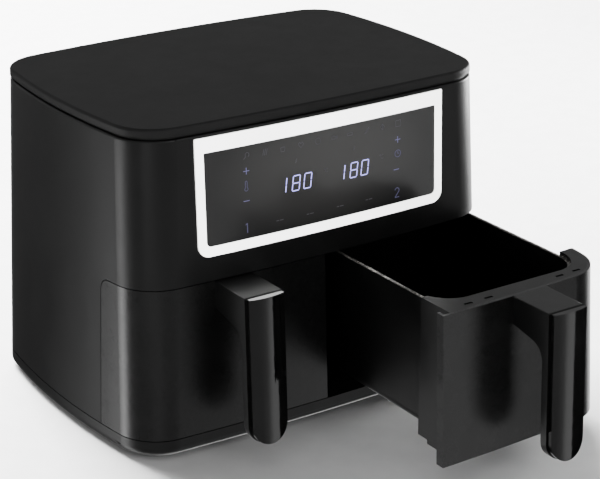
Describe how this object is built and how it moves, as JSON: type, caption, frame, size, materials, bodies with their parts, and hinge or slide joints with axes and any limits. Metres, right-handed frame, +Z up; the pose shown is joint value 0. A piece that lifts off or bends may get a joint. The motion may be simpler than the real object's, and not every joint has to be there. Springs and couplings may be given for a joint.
{
  "type": "air fryer",
  "caption": "Side-by-side drawer air fryer: rounded tapering body, framed touch panel, pull-out baskets on bar handles, crisper plates, heaters and fans.",
  "frame": {"origin": "on the surface the feet stand on, under the middle of the whole bounding box with the right drawer standing open 166 mm; the housing's own middle lies 109.092 mm behind it", "axes": "+X to the right seen from the front, +Y from the drawers to the back, +Z up"},
  "size_m": [0.405, 0.5134, 0.3],
  "materials": {
    "black_plastic": "fine matte grain",
    "white_plastic": "satin",
    "smoked_glass": "smooth, dark",
    "gloss_plastic": "high gloss",
    "circuit_board": "solder mask",
    "component_plastic": "moulded",
    "ceramic": "unglazed",
    "rubber": "soft",
    "silicone": "soft",
    "steel": "plain",
    "sheet_steel": "rolled sheet",
    "motor_steel": "plated",
    "aluminium": "pressed",
    "coated_pan": "non-stick coating"
  },
  "bodies": {
    "housing": {"main_housing": "black_plastic", "top_cover": "black_plastic", "base_tray": "black_plastic", "bulkhead": "black_plastic", "exhaust_grilles": "black_plastic", "cord_gland": "black_plastic", "panel_carrier": "black_plastic", "rubber_feet": "rubber", "base_screws": "steel", "display_frame": "white_plastic", "touch_panel": "smoked_glass", "display_board": "circuit_board", "power_board": "circuit_board", "number_displays": "gloss_plastic", "board_spacers": "white_plastic", "power_parts": "component_plastic", "board_posts": "white_plastic", "temperature_sensors": "steel", "drawer_switches": "component_plastic", "guide_rails": "sheet_steel", "heater_insulators": "ceramic", "heat_shields": "sheet_steel", "thermal_cutouts": "component_plastic", "left_chamber": "sheet_steel", "left_heating_element": "steel", "left_heater_guard": "steel", "left_motor_bracket": "sheet_steel", "left_motor": "motor_steel", "right_chamber": "sheet_steel", "right_heating_element": "steel", "right_heater_guard": "steel", "right_motor_bracket": "sheet_steel", "right_motor": "motor_steel"},
    "left_drawer": {"left_pan": "coated_pan", "left_pan_screws": "steel", "left_drawer_bracket": "black_plastic", "left_drawer_front": "black_plastic", "left_handle": "black_plastic", "left_handle_trim": "gloss_plastic", "left_handle_screws": "steel"},
    "left_crisper": {"left_crisper_plate": "coated_pan", "left_crisper_bumpers": "silicone"},
    "left_fan": {"left_fan_shaft": "steel", "left_hot_air_fan": "aluminium", "left_cooling_fan": "black_plastic", "left_fan_nut": "steel"},
    "right_drawer": {"right_pan": "coated_pan", "right_pan_screws": "steel", "right_drawer_bracket": "black_plastic", "right_drawer_front": "black_plastic", "right_handle": "black_plastic", "right_handle_trim": "gloss_plastic", "right_handle_screws": "steel"},
    "right_crisper": {"right_crisper_plate": "coated_pan", "right_crisper_bumpers": "silicone"},
    "right_fan": {"right_fan_shaft": "steel", "right_hot_air_fan": "aluminium", "right_cooling_fan": "black_plastic", "right_fan_nut": "steel"}
  },
  "joints": [
    {"name": "left_drawer_slide", "type": "slide", "parent": "housing", "child": "left_drawer", "axis": [0, -1, 0], "range_m": [0, 0.27]},
    {"name": "right_drawer_slide", "type": "slide", "parent": "housing", "child": "right_drawer", "axis": [0, -1, 0], "range_m": [-0.166, 0.104]},
    {"name": "left_crisper_lift", "type": "slide", "parent": "left_drawer", "child": "left_crisper", "axis": [0, 0, 1], "range_m": [0, 0.095]},
    {"name": "right_crisper_lift", "type": "slide", "parent": "right_drawer", "child": "right_crisper", "axis": [0, 0, 1], "range_m": [0, 0.095]},
    {"name": "left_fan_spin", "type": "hinge", "parent": "housing", "child": "left_fan", "pos_m": [-0.096, 0.10259, 0.193], "axis": [0, 0, 1], "continuous": true},
    {"name": "right_fan_spin", "type": "hinge", "parent": "housing", "child": "right_fan", "pos_m": [0.096, 0.10259, 0.193], "axis": [0, 0, 1], "continuous": true}
  ]
}
